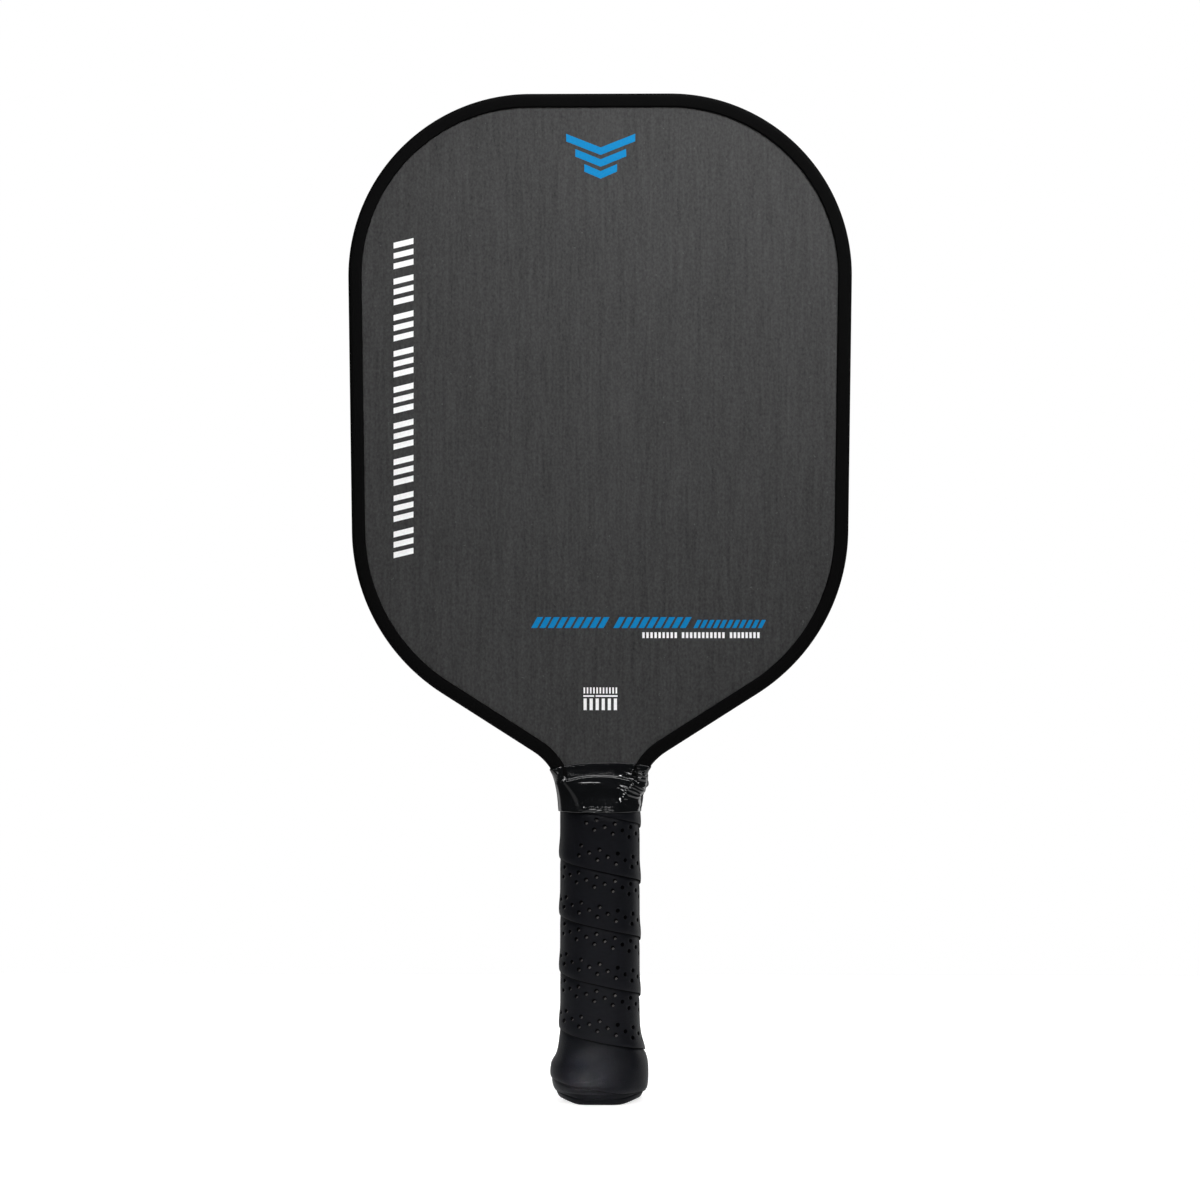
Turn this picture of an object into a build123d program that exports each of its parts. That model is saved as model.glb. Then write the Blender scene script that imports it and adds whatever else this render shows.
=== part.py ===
"""Pickleball paddle: a honeycomb-cored carbon panel with a moulded edge guard and a tape-wrapped handle.

The paddle stands on its butt end. +Z runs up the long axis from the butt cap to the top of the
head, the front face looks along -Y and X runs across the face. The origin is the centre of the
butt cap's flat end. All lengths are in millimetres.
"""

from build123d import *
from math import cos, radians
import os

# Overall size
paddle_length = 400.0
paddle_width = 200.0
panel_thickness = 14.3

# Head outline: a flat top, near-upright sides and straight shoulders that run in to the throat
side_lean = 1.0
top_corner_radius = 72.2
lower_corner_radius = 77.5
lower_corner_x = 98.0
lower_corner_z = 184.4
shoulder_slope = 0.6369
throat_radius = 24.8
throat_half_width = 15.9

# Panel layers
skin_thickness = 0.5
bond_thickness = 0.15
core_thickness = panel_thickness - 2 * (skin_thickness + bond_thickness)
tongue_end_z = 6.0

# Honeycomb core
cell_pitch = 10.0
cell_wall = 0.5
core_rim_wall = 0.8
smallest_cell_area = 8.0
column_pitch = cell_pitch * cos(radians(30))
cell_corner = cell_pitch / cos(radians(30)) / 2
slab_columns = 3

# Edge guard, a U-shaped channel that is stuck to the panel's rim with a strip of tape
guard_web = 1.5
rim_tape_thickness = 0.2
guard_lip_reach = 5.5
guard_lip_thickness = 1.15
guard_edge_radius = 1.1
guard_end_z = 119.5
guard_lip_end_z = 127.0
guard_lip_gap_half = 14.6
panel_inset = guard_web + rim_tape_thickness
guard_thickness = panel_thickness + 2 * guard_lip_thickness

# Handle shells, one on each face of the panel's tongue
handle_half_width = throat_half_width - panel_inset
handle_half_depth = 13.2
handle_flat_half = 7.2
shell_glue_thickness = 0.15
shell_base_y = panel_thickness / 2 + shell_glue_thickness
shell_low_z = 6.0
ramp_start_z = 112.0
shell_shoulder_z = 126.0
shell_shoulder_half = 12.0
shell_top_z = 129.0
shell_top_half = 10.2

# Butt cap
cap_floor = 4.5
cap_clearance = 0.1
cap_skirt_top_z = 27.5
badge_radius = 11.0
badge_thickness = 0.8
badge_recess = 1.0

# Staples that hold the cap's skirt to the shells
staple_wire = 0.6
staple_width = 10.0
staple_leg = 5.0
staple_z = 20.2
crown_y = 14.7

# Grip tape layers, from the handle outwards
grip_glue = 0.12
grip_cushion = 1.0
grip_surface = 0.5
grip_top_z = 117.5
grip_build_up = grip_glue + grip_cushion + grip_surface

# Finishing tape round the throat: height, half-width, half-depth, half of the face flat and
# half of the side flat
finishing_sections = [
    (115.6, 16.5, 14.6, 8.4, 8.2),
    (119.5, 17.3, 13.5, 10.5, 8.6),
    (126.0, 18.5, 10.9, 15.0, 8.4),
    (129.0, 19.4, 9.7, 17.6, 8.2),
    (133.4, 21.9, 9.1, 20.6, 8.0),
]

# Height, half-width and half-depth of the cap, from its flat end up to the edge of its skirt
cap_profile = [
    (0.0, 16.3, 15.3),
    (4.2, 17.6, 16.6),
    (8.0, 17.9, 16.9),
    (12.3, 17.8, 16.8),
    (16.3, 17.2, 16.2),
    (20.2, 15.8, 14.8),
    (24.2, 15.0, 14.0),
    (cap_skirt_top_z, 14.5, 13.5),
]

# The same for the bare handle above the cap, which slims on both faces towards the throat
handle_profile = [
    (cap_skirt_top_z + 2, handle_half_width, handle_half_depth),
    (ramp_start_z, handle_half_width, handle_half_depth),
    (grip_top_z, handle_half_width, 12.0),
]


def paddle_outline(inset):
    """Return the face inside the outline of the head and tongue, drawn inwards by an inset."""
    throat_corner_z = lower_corner_z - shoulder_slope * (lower_corner_x - throat_half_width)
    with BuildSketch() as outline:
        with BuildLine():
            FilletPolyline(
                (0, paddle_length),
                (paddle_width / 2 + side_lean, paddle_length),
                (lower_corner_x, lower_corner_z),
                (throat_half_width, throat_corner_z),
                (throat_half_width, tongue_end_z - panel_inset),
                (0, tongue_end_z - panel_inset),
                radius=[top_corner_radius, lower_corner_radius, throat_radius, 0],
            )
            mirror(about=Plane.YZ)
        make_face()
        if inset > 0:
            offset(amount=-inset, kind=Kind.INTERSECTION, mode=Mode.REPLACE)
    return outline.sketch_local


def face_layer(inner_y, thickness, side):
    """Return one flat layer of the panel, side -1 on the front face and +1 on the rear face."""
    with BuildPart() as layer:
        with BuildSketch(Plane.XZ.offset(-side * inner_y)):
            add(paddle_outline(panel_inset))
        extrude(amount=-side * thickness)
    return layer


def octagon(half_width, half_depth):
    """Return the handle's eight-sided section, scaled to a half-width and half-depth."""
    flat_half = half_width * handle_flat_half / handle_half_width
    side_half = half_width * shell_base_y / handle_half_width
    with BuildSketch() as section:
        with BuildLine():
            Polyline(
                (half_width, -side_half),
                (half_width, side_half),
                (flat_half, half_depth),
                (-flat_half, half_depth),
                (-half_width, side_half),
                (-half_width, -side_half),
                (-flat_half, -half_depth),
                (flat_half, -half_depth),
                close=True,
            )
        make_face()
    return section.sketch_local


def handle_form(build_up, profile):
    """Return the eight-sided form that runs through a profile, thickened by a build-up of tape."""
    with BuildPart() as form:
        for height, half_width, half_depth in profile:
            with BuildSketch(Plane.XY.offset(height)):
                add(octagon(half_width + build_up, half_depth + build_up))
        loft(ruled=True)
    return form.part


def zigzag(column):
    """Return the points of the wall line on the left of a column of cells, from bottom to top."""
    wall_x = (column - 0.5) * column_pitch
    points = []
    reach = cell_corner / 4 if column % 2 else -cell_corner / 4
    for step in range(int(paddle_length / cell_pitch) + 2):
        points.append((wall_x + reach, step * cell_pitch))
        points.append((wall_x - reach, (step + 0.5) * cell_pitch))
    return points


def cell_outlines(column, zone):
    """Return the outlines of a column's cells, cut off at the edge of a zone."""
    with BuildSketch() as cell:
        RegularPolygon((cell_pitch - cell_wall) / 2, 6, major_radius=False)
    cell_face = cell.sketch_local.faces()[0]
    outlines = []
    for row in range(int(paddle_length / cell_pitch) + 2):
        shift = cell_pitch / 2 if column % 2 else 0
        placed = cell_face.moved(Location((column * column_pitch, row * cell_pitch + shift, 0)))
        inside = [zone.is_inside(Vector(vertex)) for vertex in placed.vertices()]
        if all(inside):
            outlines.append(placed.outer_wire())
        elif any(inside):
            cut_faces = (placed & zone).faces()
            outlines += [face.outer_wire() for face in cut_faces if face.area > smallest_cell_area]
    return outlines


# The core: slabs of open hexagonal cells, welded edge to edge along their zigzag walls
panel_face = paddle_outline(panel_inset).faces()[0]
cell_zone = paddle_outline(panel_inset + core_rim_wall).faces()[0]
outer_columns = int(paddle_width / 2 / column_pitch) + 1
core_plane = Plane.XZ.offset(-core_thickness / 2)
core_slabs = []
for first in range(-outer_columns, outer_columns, slab_columns):
    last = first + slab_columns
    with BuildSketch() as slab:
        with BuildLine():
            Polyline(*zigzag(first), *reversed(zigzag(last)), close=True)
        make_face()
        add(panel_face, mode=Mode.INTERSECT)
    holes = [wire for column in range(first, last) for wire in cell_outlines(column, cell_zone)]
    for slab_face in slab.sketch_local.faces():
        own_holes = [wire for wire in holes if slab_face.is_inside(wire.center())]
        cell_slab = Face(slab_face.outer_wire(), own_holes)
        core_slabs.append(extrude(core_plane * cell_slab, core_thickness, dir=(0, -1, 0)).solid())
honeycomb_core = Compound(children=core_slabs)

# The bond films and the carbon skins
bond_y = core_thickness / 2
skin_y = bond_y + bond_thickness
front_bond_film = face_layer(bond_y, bond_thickness, -1)
rear_bond_film = face_layer(bond_y, bond_thickness, 1)
front_skin = face_layer(skin_y, skin_thickness, -1)
rear_skin = face_layer(skin_y, skin_thickness, 1)

# The strip of tape between the panel's rim and the edge guard
with BuildPart() as rim_tape:
    with BuildSketch(Plane.XZ):
        add(paddle_outline(guard_web))
        add(paddle_outline(panel_inset), mode=Mode.SUBTRACT)
    extrude(amount=panel_thickness / 2, both=True)
    split(bisect_by=Plane.XY.offset(guard_end_z), keep=Keep.TOP)

# The edge guard: lips over both faces, joined by a web round the rim
with BuildPart() as edge_guard:
    with BuildSketch(Plane.XZ):
        add(paddle_outline(0))
    extrude(amount=guard_thickness / 2, both=True)
    outer_edges = edges().filter_by_position(Axis.Z, tongue_end_z + 1, paddle_length)
    front_edges = outer_edges.group_by(Axis.Y)[0]
    rear_edges = outer_edges.group_by(Axis.Y)[-1]
    fillet(front_edges + rear_edges, guard_edge_radius)
    with BuildSketch(Plane.XZ):
        add(paddle_outline(guard_web))
    extrude(amount=panel_thickness / 2, both=True, mode=Mode.SUBTRACT)
    with BuildSketch(Plane.XZ):
        add(paddle_outline(guard_lip_reach))
    extrude(amount=guard_thickness, both=True, mode=Mode.SUBTRACT)
    with Locations((0, 0, guard_lip_end_z)):
        Box(
            2 * guard_lip_gap_half,
            2 * guard_thickness,
            guard_lip_end_z,
            align=(Align.CENTER, Align.CENTER, Align.MAX),
            mode=Mode.SUBTRACT,
        )
    split(bisect_by=Plane.XY.offset(guard_end_z), keep=Keep.TOP)

# The staples: a flat crown along X with two legs driven into the shell behind it
with BuildPart() as butt_cap_staples:
    for side in (-1, 1):
        with Locations((0, side * (crown_y - staple_wire / 2), staple_z)):
            Box(staple_width, staple_wire, staple_wire)
        leg_y = side * (crown_y - staple_leg / 2)
        for leg_x in (-1, 1):
            with Locations((leg_x * (staple_width - staple_wire) / 2, leg_y, staple_z)):
                Box(staple_wire, staple_leg, staple_wire)


def handle_shell(side):
    """Return a handle shell, side -1 at the front and +1 at the rear."""
    sections = [
        (shell_low_z, handle_half_width, handle_flat_half, handle_half_depth),
        (ramp_start_z, handle_half_width, handle_flat_half, handle_half_depth),
        (grip_top_z, handle_half_width, handle_flat_half, 12.0),
        (shell_shoulder_z, shell_shoulder_half, 8.2, 9.2),
        (shell_top_z, shell_top_half, 8.0, 8.2),
    ]
    with BuildPart() as shell:
        for height, base_half, flat_half, half_depth in sections:
            with BuildSketch(Plane.XY.offset(height)):
                with BuildLine():
                    Polyline(
                        (base_half, side * shell_base_y),
                        (flat_half, side * half_depth),
                        (-flat_half, side * half_depth),
                        (-base_half, side * shell_base_y),
                        close=True,
                    )
                make_face()
        loft(ruled=True)
        add(butt_cap_staples.part, mode=Mode.SUBTRACT)
    return shell


def shell_glue(side):
    """Return the film of glue under a handle shell, side -1 at the front and +1 at the rear."""
    with BuildPart() as glue:
        with BuildSketch(Plane.XZ.offset(-side * panel_thickness / 2)):
            with BuildLine():
                Polyline(
                    (-handle_half_width, shell_low_z),
                    (handle_half_width, shell_low_z),
                    (handle_half_width, grip_top_z),
                    (shell_shoulder_half, shell_shoulder_z),
                    (shell_top_half, shell_top_z),
                    (-shell_top_half, shell_top_z),
                    (-shell_shoulder_half, shell_shoulder_z),
                    (-handle_half_width, grip_top_z),
                    close=True,
                )
            make_face()
        extrude(amount=-side * shell_glue_thickness)
    return glue


front_handle_shell = handle_shell(-1)
rear_handle_shell = handle_shell(1)
front_shell_glue = shell_glue(-1)
rear_shell_glue = shell_glue(1)

# The butt cap: a flared cup over the end of the handle, with a recess for the end badge
cap_form = handle_form(0, cap_profile)
with BuildPart() as butt_cap:
    add(cap_form)
    with BuildSketch(Plane.XY.offset(cap_floor)):
        add(octagon(handle_half_width + cap_clearance, handle_half_depth + cap_clearance))
    extrude(amount=paddle_length, mode=Mode.SUBTRACT)
    with BuildSketch(Plane.XY):
        Circle(badge_radius + cap_clearance)
    extrude(amount=badge_recess, mode=Mode.SUBTRACT)
    add(butt_cap_staples.part, mode=Mode.SUBTRACT)

# The blank badge, set a little below the cap's flat end
with BuildPart() as end_badge:
    with BuildSketch(Plane.XY.offset(badge_recess - badge_thickness)):
        Circle(badge_radius)
    extrude(amount=badge_thickness)
    chamfer(edges().group_by(Axis.Z)[0], 0.2)


def grip_layer(inner, outer):
    """Return one layer of the grip tape, between two build-ups over the cap and bare handle."""
    wrapped_profile = cap_profile[1:] + handle_profile
    inside = handle_form(inner, wrapped_profile)
    outside = handle_form(outer, wrapped_profile)
    with BuildPart() as layer:
        add(outside)
        add(inside, mode=Mode.SUBTRACT)
    return layer


grip_glue_tape = grip_layer(0, grip_glue)
grip_cushion_tape = grip_layer(grip_glue, grip_glue + grip_cushion)
grip_surface_tape = grip_layer(grip_glue + grip_cushion, grip_build_up)

# The finishing tape: it grips the end of the wrap, the handle's ramps and the ends of the guard
panel_block = face_layer(-panel_thickness / 2, panel_thickness, 1)
wrapped_handle = handle_form(grip_build_up, handle_profile)
with BuildPart() as finishing_tape:
    for height, half_width, half_depth, flat_half, side_half in finishing_sections:
        with BuildSketch(Plane.XY.offset(height)):
            with BuildLine():
                Polyline(
                    (half_width, 0),
                    (half_width, side_half),
                    (flat_half, half_depth),
                    (0, half_depth),
                )
                mirror(about=Plane.YZ)
                mirror(about=Plane.XZ)
            make_face()
    loft(ruled=True)
    add(wrapped_handle, mode=Mode.SUBTRACT)
    add(front_handle_shell.part, mode=Mode.SUBTRACT)
    add(rear_handle_shell.part, mode=Mode.SUBTRACT)
    add(front_shell_glue.part, mode=Mode.SUBTRACT)
    add(rear_shell_glue.part, mode=Mode.SUBTRACT)
    add(panel_block.part, mode=Mode.SUBTRACT)
    add(rim_tape.part, mode=Mode.SUBTRACT)
    add(edge_guard.part, mode=Mode.SUBTRACT)

os.makedirs("parts", exist_ok=True)
for piece, name in (
    (honeycomb_core, "honeycomb_core"),
    (front_bond_film.part, "front_bond_film"),
    (rear_bond_film.part, "rear_bond_film"),
    (front_skin.part, "front_carbon_skin"),
    (rear_skin.part, "rear_carbon_skin"),
    (rim_tape.part, "rim_tape"),
    (edge_guard.part, "edge_guard"),
    (butt_cap_staples.part, "butt_cap_staples"),
    (front_handle_shell.part, "front_handle_shell"),
    (rear_handle_shell.part, "rear_handle_shell"),
    (front_shell_glue.part, "front_shell_glue"),
    (rear_shell_glue.part, "rear_shell_glue"),
    (butt_cap.part, "butt_cap"),
    (end_badge.part, "end_badge"),
    (grip_glue_tape.part, "grip_glue_tape"),
    (grip_cushion_tape.part, "grip_cushion_tape"),
    (grip_surface_tape.part, "grip_surface_tape"),
    (finishing_tape.part, "finishing_tape"),
):
    piece.label = name
    export_step(piece, f"parts/{name}.step")
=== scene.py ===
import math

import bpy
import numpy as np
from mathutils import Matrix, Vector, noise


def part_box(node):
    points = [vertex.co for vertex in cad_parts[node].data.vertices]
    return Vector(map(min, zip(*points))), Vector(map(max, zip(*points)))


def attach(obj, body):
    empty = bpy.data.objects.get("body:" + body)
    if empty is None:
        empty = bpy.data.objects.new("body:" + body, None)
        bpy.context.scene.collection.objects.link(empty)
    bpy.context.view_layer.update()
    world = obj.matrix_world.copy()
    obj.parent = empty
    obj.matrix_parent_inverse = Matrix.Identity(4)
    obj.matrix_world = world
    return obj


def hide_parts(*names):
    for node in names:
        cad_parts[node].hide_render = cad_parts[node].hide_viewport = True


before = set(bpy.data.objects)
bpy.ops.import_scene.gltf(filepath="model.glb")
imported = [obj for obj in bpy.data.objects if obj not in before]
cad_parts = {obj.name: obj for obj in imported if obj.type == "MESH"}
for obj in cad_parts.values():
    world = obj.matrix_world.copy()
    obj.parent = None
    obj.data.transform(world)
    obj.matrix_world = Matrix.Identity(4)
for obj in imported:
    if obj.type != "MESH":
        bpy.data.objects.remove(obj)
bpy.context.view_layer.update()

# Looks for the pickleball paddle: a raw carbon face, a moulded guard, a spiral grip and a glossy
# collar. Every size is in metres in the row frame: +Z runs from the butt to the top of the head,
# and the front face looks along -Y. MM turns millimetres into metres.

MM = 0.001

# ---------------------------------------------------------------- places read from the frame
LOWEST, HIGHEST = 0, 1
GUARD_LOW, GUARD_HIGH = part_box("edge_guard")
BADGE_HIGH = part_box("end_badge")[HIGHEST]
FRONT_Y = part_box("front_carbon_skin")[LOWEST].y
PANEL_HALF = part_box("rear_carbon_skin")[HIGHEST].y
LENGTH = GUARD_HIGH.z

# ---------------------------------------------------------------- small helpers


def smoothstep(low, high, value):
    """Return 0 below low, 1 above high, and a smooth ramp between them."""
    share = np.clip((value - low) / (high - low), 0.0, 1.0)
    return share * share * (3 - 2 * share)


def curve_through(points):
    """Return a smooth function through (place, value) points, with no overshoot between them."""
    places = np.array([p[0] for p in points], float)
    values = np.array([p[1] for p in points], float)
    slopes = np.diff(values) / np.diff(places)
    tangents = np.zeros(len(values))
    same_way = slopes[:-1] * slopes[1:] > 0
    product, total = slopes[:-1] * slopes[1:], slopes[:-1] + slopes[1:]
    tangents[1:-1][same_way] = 2 * product[same_way] / total[same_way]
    tangents[0], tangents[-1] = slopes[0], slopes[-1]

    def value_at(place):
        place = np.clip(place, places[0], places[-1])
        i = np.clip(np.searchsorted(places, place, side="right") - 1, 0, len(slopes) - 1)
        width = places[i + 1] - places[i]
        t = (place - places[i]) / width
        ease = 3 * t**2 - 2 * t**3
        start = (1 - ease) * values[i] + (t**3 - 2 * t**2 + t) * width * tangents[i]
        end = ease * values[i + 1] + (t**3 - t**2) * width * tangents[i + 1]
        return start + end

    return value_at


def make_piece(name, vertices, faces, material, smooth=True):
    """Make a mesh piece from vertices and faces, with its finish, that rides on the paddle."""
    mesh = bpy.data.meshes.new(name)
    mesh.from_pydata([tuple(v) for v in vertices], [], faces)
    mesh.validate()
    mesh.update()
    piece = bpy.data.objects.new(name, mesh)
    bpy.context.scene.collection.objects.link(piece)
    mesh.materials.append(material)
    mesh.polygons.foreach_set("use_smooth", [smooth] * len(mesh.polygons))
    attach(piece, "root")
    return piece


def grid_faces(columns, rows, start=0, closed=False, flip=False):
    """Return the quads of a grid of vertices that are stored column by column."""
    faces = []
    for column in range(columns if closed else columns - 1):
        left = start + column * rows
        right = start + ((column + 1) % columns) * rows
        for row in range(rows - 1):
            quad = (left + row, right + row, right + row + 1, left + row + 1)
            faces.append(quad[::-1] if flip else quad)
    return faces


# ---------------------------------------------------------------- materials

# The sockets of a Mix node that carry its two colours and its result
MIX_DARK, MIX_LIGHT, MIX_RESULT = 6, 7, 2
RANGE_SOCKETS = ("From Min", "From Max", "To Min", "To Max")


class Shader:
    """A procedural material: a Principled shader with a short way to add and join nodes."""

    def __init__(self, name, **values):
        self.material = bpy.data.materials.new(name)
        self.material.use_nodes = True
        self.tree = self.material.node_tree
        self.shader = self.tree.nodes["Principled BSDF"]
        for socket, value in values.items():
            self.shader.inputs[socket.replace("_", " ")].default_value = value
        self.coordinates = self.node("ShaderNodeTexCoord").outputs["Object"]

    def node(self, kind, links=(), **values):
        """Add a node, set its values, and join other nodes' outputs to its inputs."""
        node = self.tree.nodes.new(kind)
        for name, value in values.items():
            if hasattr(node, name):
                setattr(node, name, value)
            else:
                node.inputs[name.replace("_", " ")].default_value = value
        for socket, source in dict(links).items():
            self.tree.links.new(source, node.inputs[socket])
        return node

    def noise(self, scale, stretch=(1, 1, 1), detail=4.0, roughness=0.55):
        """Return a noise pattern: scale in waves per metre, stretched along each axis."""
        mapping = self.node("ShaderNodeMapping", {"Vector": self.coordinates}, Scale=stretch)
        pattern = self.node(
            "ShaderNodeTexNoise",
            {"Vector": mapping.outputs["Vector"]},
            Scale=scale,
            Detail=detail,
            Roughness=roughness,
        )
        return pattern.outputs["Fac"]

    def remap(self, source, low, high, to_low, to_high):
        """Return source moved from one range to another."""
        ranged = self.node("ShaderNodeMapRange", {"Value": source})
        for name, value in zip(RANGE_SOCKETS, (low, high, to_low, to_high)):
            ranged.inputs[name].default_value = value
        return ranged.outputs["Result"]

    def math(self, operation, first, second):
        """Return a sum, product or other mixture of two values; a value may be a plain number."""
        node = self.tree.nodes.new("ShaderNodeMath")
        node.operation = operation
        for socket, source in zip(node.inputs, (first, second)):
            if isinstance(source, (int, float)):
                socket.default_value = source
            else:
                self.tree.links.new(source, socket)
        return node.outputs["Value"]

    def colour(self, source, dark, light):
        """Colour the surface from dark, where source is 0, to light, where it is 1."""
        mixture = self.node("ShaderNodeMix", data_type="RGBA")
        self.tree.links.new(source, mixture.inputs["Factor"])
        mixture.inputs[MIX_DARK].default_value = (*dark, 1)
        mixture.inputs[MIX_LIGHT].default_value = (*light, 1)
        self.tree.links.new(mixture.outputs[MIX_RESULT], self.shader.inputs["Base Color"])

    def gloss(self, source, low, high):
        """Vary the roughness from low to high with source."""
        ranged = self.remap(source, 0.3, 0.7, low, high)
        self.tree.links.new(ranged, self.shader.inputs["Roughness"])

    def bump(self, source, depth):
        """Raise the surface with source, by depth metres from its lowest to its highest."""
        bump = self.node("ShaderNodeBump", {"Height": source}, Distance=depth, Strength=1.0)
        self.tree.links.new(bump.outputs["Normal"], self.shader.inputs["Normal"])


def carbon_material():
    """Raw carbon: neutral grey with fine upright fibre streaks, a grain and a few bright specks."""
    made = Shader("raw_carbon", Specular_IOR_Level=0.3)
    streaks = made.noise(760, (1, 1, 0.055), 2.0)
    bundles = made.noise(60, (1, 1, 0.12), 3.0)
    grain = made.noise(1150, (1, 1, 0.7), 3.0, 0.65)
    clouds = made.noise(16, (1, 1, 0.6), 3.0)
    specks = made.remap(made.noise(650, (1, 1, 1), 1.0), 0.77, 0.81, 0.0, 0.45)
    tone = made.math("MULTIPLY", streaks, 0.26)
    for pattern, share in ((grain, 0.66), (bundles, 0.03), (clouds, 0.05)):
        tone = made.math("ADD", tone, made.math("MULTIPLY", pattern, share))
    tone = made.math("ADD", tone, specks)
    dark, light = (0.004, 0.004, 0.0041), (0.056, 0.056, 0.0564)
    made.colour(made.remap(tone, 0.25, 0.75, 0.0, 1.0), dark, light)
    made.gloss(grain, 0.52, 0.72)
    made.bump(made.math("ADD", grain, made.math("MULTIPLY", streaks, 0.7)), 0.00004)
    return made.material


def moulded_material(name, dark, light, grain_scale, rough, depth, specular):
    """Moulded plastic or foam: a fine even grain with slow changes of tone and gloss."""
    made = Shader(name, Specular_IOR_Level=specular)
    grain = made.noise(grain_scale, detail=5.0)
    clouds = made.noise(grain_scale / 25, detail=3.0)
    made.colour(made.remap(made.math("ADD", grain, clouds), 0.7, 1.3, 0.0, 1.0), dark, light)
    made.gloss(clouds, rough - 0.06, rough + 0.08)
    made.bump(grain, depth)
    return made.material


def grip_material():
    """Grip tape: matt synthetic leather with fine pebbles, soft creases and a trace of violet."""
    made = Shader("grip_tape", Specular_IOR_Level=0.12)
    mapping = made.node("ShaderNodeMapping", {"Vector": made.coordinates}, Scale=(1, 1, 1.2))
    place = {"Vector": mapping.outputs["Vector"]}
    cells = made.node("ShaderNodeTexVoronoi", place, Scale=1900.0, feature="SMOOTH_F1")
    pebbles = cells.outputs["Distance"]
    creases = made.noise(420, (1, 1, 2.2), 6.0, 0.62)
    clouds = made.noise(55, detail=4.0)
    tone = made.math("MULTIPLY", creases, 0.55)
    tone = made.math("ADD", tone, made.math("MULTIPLY", clouds, 0.45))
    dark, light = (0.0004, 0.0006, 0.0016), (0.0028, 0.0033, 0.0054)
    made.colour(made.remap(tone, 0.3, 0.7, 0.0, 1.0), dark, light)
    made.gloss(clouds, 0.46, 0.58)
    made.bump(made.math("ADD", pebbles, made.math("MULTIPLY", creases, 0.9)), 0.00006)
    return made.material


def vinyl_material():
    """Stretched glossy vinyl: near black, with fine stretch lines that break up its highlights."""
    made = Shader("glossy_vinyl", Specular_IOR_Level=0.5)
    lines = made.noise(170, (0.5, 0.5, 5.0), 5.0, 0.6)
    clouds = made.noise(120, detail=3.0)
    dark, light = (0.0006, 0.0009, 0.0013), (0.0016, 0.0021, 0.0028)
    made.colour(made.remap(clouds, 0.3, 0.7, 0.0, 1.0), dark, light)
    made.gloss(clouds, 0.07, 0.15)
    made.bump(lines, 0.00008)
    return made.material


def ink_material(name, dark, light):
    """Printed ink: an even colour, broken very slightly by the grit of the face under it."""
    made = Shader(name, Specular_IOR_Level=0.08)
    grit = made.noise(1500, (1, 1, 0.8), 3.0, 0.65)
    made.colour(made.remap(grit, 0.35, 0.65, 0.0, 1.0), dark, light)
    made.gloss(grit, 0.42, 0.58)
    made.bump(grit, 0.00002)
    return made.material


def turned_material(name, dark, light, metallic, rings):
    """Metal or plastic with fine rings or draw lines."""
    made = Shader(name, Metallic=metallic)
    lines = made.noise(rings, (1, 1, 8.0), 4.0)
    made.colour(made.remap(lines, 0.3, 0.7, 0.0, 1.0), dark, light)
    made.gloss(lines, 0.22, 0.42)
    made.bump(lines, 0.00002)
    return made.material


CARBON = carbon_material()
GRIP = grip_material()
VINYL = vinyl_material()
WHITE = ink_material("white_ink", (0.88, 0.88, 0.88), (0.97, 0.97, 0.97))
BLUE = ink_material("blue_ink", (0.005, 0.182, 0.420), (0.006, 0.206, 0.470))
STEEL = turned_material("staple_steel", (0.42, 0.42, 0.43), (0.62, 0.62, 0.63), 1.0, 2500)
BADGE = turned_material("badge_plastic", (0.020, 0.020, 0.023), (0.035, 0.035, 0.039), 0.0, 900)

# Name, dark and light colour, waves of grain per metre, roughness, depth of grain and gloss
MOULDED = [
    ("guard_plastic", (0.001, 0.001, 0.0011), (0.0018, 0.0018, 0.0019), 1400, 0.75, 0.00003, 0.05),
    ("cap_plastic", (0.0012, 0.0015, 0.0024), (0.0028, 0.0032, 0.0046), 1200, 0.5, 0.00003, 0.07),
    # Near black, put inside the holes and on the tape's cut edges as painted shade
    ("tape_painted_shade", (0.0003, 0.0003, 0.0004), (0.0009, 0.0009, 0.0011), 1500, 0.9, 0.00002, 0.02),
    # Pale backing, put only on the lit side of holes: the tape's own colour, placed as a painted
    # highlight
    ("tape_backing_painted_highlight", (0.030, 0.028, 0.028), (0.070, 0.065, 0.063), 1500, 0.7, 0.00004, 0.3),
    ("shell_foam", (0.030, 0.030, 0.032), (0.055, 0.055, 0.058), 900, 0.7, 0.0001, 0.3),
    ("core_plastic", (0.62, 0.64, 0.64), (0.80, 0.81, 0.80), 500, 0.4, 0.00004, 0.3),
    ("bond_resin", (0.34, 0.27, 0.14), (0.50, 0.42, 0.25), 700, 0.25, 0.00002, 0.3),
    ("tape_adhesive", (0.60, 0.56, 0.46), (0.75, 0.72, 0.62), 900, 0.5, 0.00003, 0.3),
]
GUARD, CAP, HOLLOW, BACKING, FOAM, CORE, RESIN, ADHESIVE = (
    moulded_material(*row) for row in MOULDED
)

NODE_MATERIALS = {
    "honeycomb_core": CORE,
    "front_bond_film": RESIN,
    "rear_bond_film": RESIN,
    "front_carbon_skin": CARBON,
    "rear_carbon_skin": CARBON,
    "rim_tape": ADHESIVE,
    "butt_cap_staples": STEEL,
    "front_handle_shell": FOAM,
    "rear_handle_shell": FOAM,
    "front_shell_glue": RESIN,
    "rear_shell_glue": RESIN,
    "end_badge": BADGE,
}
for node_name, node_material in NODE_MATERIALS.items():
    node_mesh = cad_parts[node_name].data
    node_mesh.materials.clear()
    node_mesh.materials.append(node_material)

# ---------------------------------------------------------------- the outline of the head

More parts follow.
